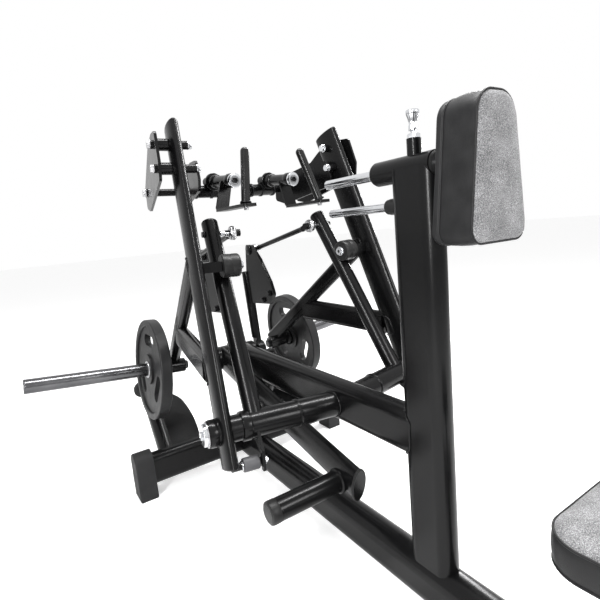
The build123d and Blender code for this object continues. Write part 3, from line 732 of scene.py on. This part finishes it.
for side_name, side in SIDES:
    arm_body = f"arm_{side_name}"
    start_body = f"start_{side_name}"
    for tube, top, along, deep in (
        ("diagonal", diagonal_top, diagonal_along, DIAGONAL_DEEP),
        ("brace", brace_top, brace_along, BRACE_DEEP),
    ):
        arm_middle = PIVOT + OUT * ARM_OUT
        start = top - along * ((top - arm_middle).dot(arm_square) / along.dot(arm_square))
        seam = oval_ring(start, along, OUT, TUBE_THICK, deep, arm_face(along))
        bead(f"weld_{tube}_{side_name}", seam, 2.6, BLACK, arm_body, side)

    # Hub: lathe-turned faces and a socket cap screw.
    turned(
        f"hub_face_{side_name}", arm_point(HUB_FACE, 0, 0), OUT,
        ((20, 22.5), (30, 22.7), (34.5, 21), (35.4, 17), (35.4, 3), (34.2, 0.3), (33, 0)), BLACK,
        arm_body, side,
    )
    hex_head(
        f"hub_screw_{side_name}", arm_point(HUB_SCREW, 0, 0), OUT, 19, 5, CHROME, "frame", side,
        socket=9,
    )
    turned(
        f"hub_washer_{side_name}", arm_point(HUB_WASHER, 0, 0), OUT,
        ((18.3, 0), (33, 0), (33.6, 0.8), (33.6, 2.6), (32.8, 3.2), (18.3, 3.2)), STEEL, "frame",
        side,
    )
    turned(
        f"sleeve_ring_{side_name}", arm_point(SLEEVE_END, 0, 0), OUT,
        ((35.2, -3), (37, -1.2), (38.7, 1), (38.9, 2), (38.9, 20), (38.2, 21.6), (36, 22.2)), BLACK,
        start_body, side,
    )
    turned(
        f"stub_ring_{side_name}", arm_point(STUB_END, 0, 0), OUT,
        ((35.2, -2), (37.2, -0.5), (37.8, 1), (37.8, 4.6), (37, 6), (35, 6.2)), BLACK, "frame",
        side,
    )

    # Ball joint between the link rod and the start lever.
    ball_at = arm_point(BALL_OUT, *BALL)
    eye_profile = [(11.6, -9)] + [
        (17.5 + 4.3 * math.cos(turn), 9 * math.sin(turn))
        for turn in [math.radians(-80 + 16 * k) for k in range(11)]
    ] + [(11.6, 9), (11.6, -9)]
    turned(
        f"ball_eye_{side_name}", ball_at, OUT, eye_profile, STEEL, f"link_{side_name}",
        side,
    )
    ball_profile = [(0, -10)] + [
        (10.5 * math.sin(turn), -10.5 * math.cos(turn)) for turn in [math.pi * k / 14 for k in range(3, 12)]
    ] + [(0, 10)]
    turned(f"ball_{side_name}", ball_at, OUT, ball_profile, CHROME, start_body, side)
    hex_head(
        f"ball_nut_{side_name}", arm_point(BALL_OUT - 12, *BALL), -OUT, 15, 7, CHROME, start_body, side,
        washer=8.6,
    )
    hex_head(
        f"ball_bolt_{side_name}", arm_point(BALL_BOLT, *BALL), OUT, 17, 6, FITTING, start_body, side,
        washer=10.5,
    )
    turned(
        f"ball_stud_{side_name}", arm_point(BALL_OUT + 11, *BALL), OUT,
        ((7.2, 0), (9.5, 1), (9.5, 12), (8, 14), (7.2, 26)), CHROME, start_body, side,
    )

    # Rod end at the rocker.
    turned(
        f"rocker_eye_{side_name}", ROCKER_EYE, ACROSS, eye_profile, STEEL, f"link_{side_name}",
        side,
    )
    hex_head(
        f"rocker_nut_{side_name}", ROCKER_EYE + Vector((14.2, 0, 0)), ACROSS, 15, 7, CHROME, "lever",
        side, washer=8.8,
    )
    rod_along = (ball_at - ROCKER_EYE).normalized()
    for end, at, way in (("rear", ball_at, -rod_along), ("front", ROCKER_EYE, rod_along)):
        neck = ((7, 17), (8.2, 20), (8.6, 30), (9.6, 32), (10.4, 34), (10.4, 43), (9.4, 45), (9.1, 47))
        turned(
            f"rod_neck_{end}_{side_name}", at, way, neck, BLACK, f"link_{side_name}", side,
            segments=36,
        )

    # Push roller.
    roller_profile = (
        (
            8.3, 222.2), (26, 222.2), (30.4, 223.4), (32.6, 226), (33.2, 230), (33.2, 246), (32.6,
            247.6), (32.6, 250.4,
        ),
        (33.2, 252), (33.2, 269), (32.2, 273.4), (29.6, 275.6), (24, 276), (8.3, 276), (8.3, 222.2),
    )
    tyre = turned(
        f"roller_tyre_{side_name}", arm_point(0, *ROLLER), OUT, roller_profile, PLASTIC,
        f"push_roller_{side_name}", side, segments=72,
    )
    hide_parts(f"roller_{side_name}")
    hex_head(
        f"roller_cap_{side_name}", arm_point(ROLLER_CAP, *ROLLER), -OUT, 22, 7, CHROME, arm_body, side,
        socket=9, washer=15,
    )

    # Plate bolts, with heads outside and nuts inside.
    for number, bolt in enumerate(BOLTS):
        hex_head(
            f"plate_bolt_{number}_{side_name}", arm_point(PLATE_OUTSIDE, *bolt), OUT, 20, 7, STEEL,
            arm_body, side, washer=13,
        )
        hex_head(
            f"plate_nut_{number}_{side_name}", arm_point(PLATE_NUTS[number], *bolt), -OUT, 20, 9,
            CHROME, arm_body, side, washer=13,
        )
    hex_head(
        f"cross_nut_{side_name}", arm_point(CROSS_NUT, *CROSS_ROD), OUT, 24, 8, STEEL, arm_body, side,
        washer=15,
    )
    hex_head(
        f"cross_end_{side_name}", arm_point(CROSS_END, *CROSS_ROD), -OUT, 22, 6, FITTING, arm_body,
        side,
    )

    # Handle swivel: chrome end cap with a hexagon socket, and rings at the front flange.
    swivel = f"swivel_{side_name}"
    head = f"handle_head_{side_name}"
    turned(
        f"swivel_ring_{side_name}", HANDLE_BACK - HANDLE_ALONG * 9, -HANDLE_ALONG,
        (
            (20, -8), (22, -7), (22.8, -5), (22.8, 0), (21.6, 2), (19, 2.4), (13, 2.4), (12, 1.6),
            (0, 1.6),
        ),
        CHROME, head, side,
    )
    hex_head(
        f"swivel_screw_{side_name}", HANDLE_BACK - HANDLE_ALONG * 10.6, -HANDLE_ALONG, 17, 5, FITTING,
        head, side, socket=9,
    )
    turned(
        f"swivel_tube_{side_name}", HANDLE_BACK, HANDLE_ALONG,
        (
            (17.1, 0.5), (21.5, 0.8), (22.3, 2), (22.3, 26), (21.3, 28.5), (18.2, 30), (18.2, 120),
            (21, 122), (22.4, 124), (22.4, 147), (21.4, 149.4), (17.1, 149.6),
        ),
        BLACK, swivel, side,
    )
    turned(
        f"carriage_flange_{side_name}", HANDLE_BACK + HANDLE_ALONG * 151, HANDLE_ALONG,
        ((16, 0.2), (27.5, 0.2), (28.6, 1.2), (28.6, 8.2), (27.4, 9.4), (16, 9.6)), BLACK, head,
        side,
    )
    barrel = arm_point(BARREL, *CROSS_ROD)
    for number, spot in enumerate((0, 44, 98)):
        ring_profile = ((21, -5), (23.4, -4), (24, -3), (24, 3), (23.4, 4), (21, 5))
        turned(
            f"barrel_ring_{number}_{side_name}", barrel + OUT * spot, OUT, ring_profile, FITTING, head,
            side,
        )

    # Grip: a smooth rubber rod with a domed top and a collar at its foot.
    grip_along = (GRIP_TOP - GRIP_FOOT).normalized()
    grip_profile = [(0, -1), (13.2, 0), (13.4, 4)] + [(13.2, 12), (13.2, 160)] + [
        (13.2 * math.cos(turn), 163 + 12 * math.sin(turn))
        for turn in [math.radians(15 * k) for k in range(6)]
    ] + [(0, 175)]
    grip = turned(
        f"grip_rod_{side_name}", GRIP_FOOT, grip_along, grip_profile, GRIP_RUBBER, swivel,
        side, segments=64,
    )
    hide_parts(f"grip_{side_name}")
    hex_head(
        f"grip_bolt_{side_name}", Vector((GRIP_FOOT.x, GRIP_FOOT.y, 1016)), -UPWARD, 13, 6, STEEL,
        swivel, side, washer=9,
    )
    turned(
        f"grip_collar_{side_name}", Vector((GRIP_FOOT.x, GRIP_FOOT.y, 1025)), grip_along,
        ((13.4, 1), (16.5, 1), (17, 2.4), (16.6, 5), (13.4, 6)), FITTING, swivel, side,
    )

    # Rest stop on the arm's tail.
    stop = arm_point(0, *TAIL_STOP)
    turned(
        f"tail_stop_{side_name}", stop, OUT,
        (
            (9, 275), (15.6, 275.2), (17.6, 277), (18, 280), (18, 314), (17, 317.5), (14, 318.6),
            (9, 318.8),
        ),
        GREY_RUBBER, arm_body, side,
    )
    hex_head(
        f"tail_stop_bolt_{side_name}", arm_point(TAIL_BOLT, *TAIL_STOP), -OUT, 14, 6, CHROME, arm_body,
        side, washer=12,
    )
    turned(
        f"tail_stop_washer_{side_name}", stop, OUT,
        ((10.1, 319), (13, 319.2), (13.4, 320.2), (12.6, 322), (10.1, 322.2)), CHROME, arm_body,
        side,
    )

    # Weight horn fittings.
    plate_at = HORN_ROOT + HORN_ALONG * WEIGHT_OUT
    turned(
        f"horn_flange_{side_name}", plate_at - HORN_ALONG * 14, HORN_ALONG,
        ((25, -6), (28, -5), (36.4, -0.4), (37, 1), (37, 11), (36.2, 12), (25, 12)), BLACK, arm_body,
        side,
    )
    hub_profile = ((26.2, -1), (30, -1.4), (44, -1.2), (45, 0), (45, 3), (52, 5.5), (58, 9))
    turned(
        f"plate_hub_inner_{side_name}", plate_at, HORN_ALONG, hub_profile, PLATE_RUBBER,
        f"plate_{side_name}", side, segments=72,
    )
    turned(
        f"plate_bush_{side_name}", plate_at + HORN_ALONG * 40, HORN_ALONG,
        ((25.9, -4), (25.9, 2.6), (31, 2.8), (32.6, 1.6), (33, 0), (33, -4)), STEEL,
        f"plate_{side_name}", side, segments=72,
    )
    for number, spot in enumerate((6.5, 33.5)):
        ring_profile = [
            (172 + 4.5 * math.cos(turn), spot + 6.4 * math.sin(turn))
            for turn in [2 * math.pi * k / 14 for k in range(15)]
        ]
        turned(
            f"plate_rim_{number}_{side_name}", plate_at, HORN_ALONG, ring_profile, PLATE_RUBBER,
            f"plate_{side_name}", side, segments=120,
        )
    turned(
        f"horn_root_{side_name}", HORN_ROOT, HORN_ALONG,
        ((25, -23), (27, -21.5), (27.4, -18), (27.4, 66), (26.6, 70), (25, 71)), BLACK, arm_body,
        side,
    )
    # The horn cap gets the darkened chrome: a painted dark reflection.
    turned(
        f"horn_cap_{side_name}", HORN_ROOT + HORN_ALONG * HORN_LONG, HORN_ALONG,
        ((25, -6), (25.3, -5.4), (25.4, -1.6), (24.4, 0), (21, 0.6), (0, 0.8)), HORN_PAINTED_REFLECTION, arm_body,
        side,
    )
    hex_head(
        f"horn_nut_{side_name}", HORN_ROOT - HORN_ALONG * 22, -HORN_ALONG, 30, 10, FITTING, arm_body,
        side, washer=20,
    )

# ---- Foot lever fittings ----
lever_along = (LEVER_BACK - LEVER_TOP).normalized()
lever_tall = lever_along.cross(ACROSS).normalized()
for number, (push, grow) in enumerate(((-1.5, 1.02), (-5.5, 1.02))):
    ring_points = []
    for step in range(90):
        angle = 2 * math.pi * step / 90
        ring_points.append(
            LEVER_BACK + lever_along * push + ACROSS * 20 * grow * math.cos(
                angle) + lever_tall * 48 * grow * math.sin(angle
            )
        )
    bead(f"lever_end_cap_{number}", ring_points, 2.0, PLASTIC, "lever", ripple=0.0)
turned(
    "foot_bar_cap", (-305, *FOOT_BAR), -ACROSS,
    ((29.2, -26), (29.8, -25), (29.9, -8), (28.6, -3), (25, -0.6), (18, 0.2), (0, 0.3)), PLASTIC,
    "lever", segments=64,
)
turned(
    "foot_bar_collar", (-86, *FOOT_BAR), -ACROSS, ((29, -6), (33, -4), (34, 0), (33.6, 5), (29.2, 8)),
    BLACK, "lever", segments=64,
)
for side_name, side in SIDES:
    hex_head(
        f"shaft_screw_{side_name}", (125, SHAFT_Y, BEAM_Z), ACROSS, 22, 7, CHROME, "lever", side,
        socket=10, washer=22,
    )
for side_name, side in SIDES:
    turned(
        f"rocker_post_cap_{side_name}", (ROCKER_MIDDLE_X, 1044, 780), Vector((0, 34, 330)),
        ((19.1, -8), (19.8, -7), (19.8, -2), (18.6, 0.6), (15, 1.6), (0, 1.8)), PLASTIC, "lever",
        side,
    )
    for number, (forward, high) in enumerate(ROCKER_BOLTS):
        hex_head(
            f"rocker_bolt_{number}_{side_name}", (ROCKER_MIDDLE_X + 6, forward, high), ACROSS, 19, 8,
            FITTING, "lever", side, washer=13,
        )
        hex_head(
            f"rocker_bolt_back_{number}_{side_name}", (ROCKER_MIDDLE_X - 6, forward, high), -ACROSS, 19,
            8, FITTING, "lever", side, washer=13,
        )
    turned(
        f"rocker_boss_{side_name}", (ROCKER_MIDDLE_X - 6, ROCKER_EYE.y, ROCKER_EYE.z), ACROSS,
        ((0, -7), (17, -6.6), (20, -4.5), (20.6, -1), (20.6, 13), (19, 15.6), (9.2, 16.4)), BLACK,
        "lever", side,
    )
turned(
    "beam_bearing_left", (-BEAM_ROUND, SHAFT_Y, BEAM_Z), -ACROSS,
    ((15.2, 0), (40, 0), (41, 1), (41, 2.6), (40, 3.4), (15.2, 3.4)), STEEL, "frame",
)
turned(
    "beam_bearing_right", (BEAM_ROUND, SHAFT_Y, BEAM_Z), ACROSS,
    ((15.2, 0), (40, 0), (42, 2), (42, 44), (40, 46), (15.2, 46)), BLACK, "frame",
)

# ---- Room, light and camera ----
floor_material, floor_tree, floor_shader, _ = start_material("floor_pale")
floor_shader.inputs["Base Color"].default_value = (0.93, 0.93, 0.93, 1)
floor_shader.inputs["Roughness"].default_value = 0.9
floor_shader.inputs["Specular IOR Level"].default_value = 0.1
floor_paths = floor_tree.nodes.new("ShaderNodeLightPath")
floor_glow = math_node(floor_tree, "MULTIPLY", floor_paths.outputs["Is Camera Ray"], 0.42)
floor_shader.inputs["Emission Color"].default_value = (1, 1, 1, 1)
floor_tree.links.new(floor_glow, floor_shader.inputs["Emission Strength"])
floor_mesh = bpy.data.meshes.new("floor")
floor_bm = bmesh.new()
bmesh.ops.create_grid(floor_bm, x_segments=1, y_segments=1, size=30)
floor_bm.to_mesh(floor_mesh)
floor_bm.free()
floor_mesh.materials.append(floor_material)
floor = bpy.data.objects.new("floor", floor_mesh)
floor.location = (0, 0, -0.001)
bpy.context.scene.collection.objects.link(floor)

world = bpy.data.worlds.new("studio")
bpy.context.scene.world = world
world.use_nodes = True
tree = world.node_tree
background = tree.nodes["Background"]
paths = tree.nodes.new("ShaderNodeLightPath")
bent = math_node(tree, "MAXIMUM", paths.outputs["Is Glossy Ray"], paths.outputs["Is Transmission Ray"])
seen = math_node(tree, "MAXIMUM", paths.outputs["Is Camera Ray"], bent)
level = tree.nodes.new("ShaderNodeMapRange")
level.inputs["To Min"].default_value = 0.55
level.inputs["To Max"].default_value = 1.0
tree.links.new(seen, level.inputs["Value"])
tree.links.new(level.outputs["Result"], background.inputs["Strength"])
background.inputs["Color"].default_value = (1, 1, 1, 1)


def area_light(name, spot, target, power, wide, tall):
    lamp = bpy.data.lights.new(name, "AREA")
    lamp.shape = "RECTANGLE"
    lamp.size = wide
    lamp.size_y = tall
    lamp.energy = power
    holder = bpy.data.objects.new(name, lamp)
    holder.location = spot
    holder.rotation_euler = (Vector(target) - Vector(spot)).to_track_quat("-Z", "Y").to_euler()
    bpy.context.scene.collection.objects.link(holder)


area_light("key", (-2.4, -1.6, 1.9), (0, 0.1, 0.8), 95, 0.2, 2.4)
area_light("pad_light", (0.9, -3.0, 1.9), (0, -0.5, 1.0), 45, 1.0, 1.0)
area_light("top", (0.5, -0.1, 3.4), (0, 0.1, 0.5), 130, 0.3, 2.6)
area_light("rim", (2.6, 1.2, 2.2), (0, 0.1, 0.7), 70, 0.2, 2.4)

SENSOR = 36
LENS = 26.838
CAMERA_AT = (-739, -657, 946)
yaw = math.radians(32.8)
pitch = math.radians(-8.9)
roll = math.radians(-5.2)
look = Vector((math.sin(yaw) * math.cos(pitch), math.cos(yaw) * math.cos(pitch), math.sin(pitch)))
level_right = Vector((math.cos(yaw), -math.sin(yaw), 0))
level_up = level_right.cross(look)
camera_right = level_right * math.cos(roll) + level_up * math.sin(roll)
camera_up = level_up * math.cos(roll) - level_right * math.sin(roll)
camera_data = bpy.data.cameras.new("camera")
camera_data.sensor_width = SENSOR
camera_data.lens = LENS
camera_data.shift_y = -0.005
camera_data.clip_end = 100
camera = bpy.data.objects.new("camera", camera_data)
camera_turn = Matrix((camera_right, camera_up, -look)).transposed().to_4x4()
camera.matrix_world = Matrix.Translation(place(CAMERA_AT)) @ camera_turn
bpy.context.scene.collection.objects.link(camera)
bpy.context.scene.camera = camera
bpy.context.scene.view_settings.view_transform = "Standard"
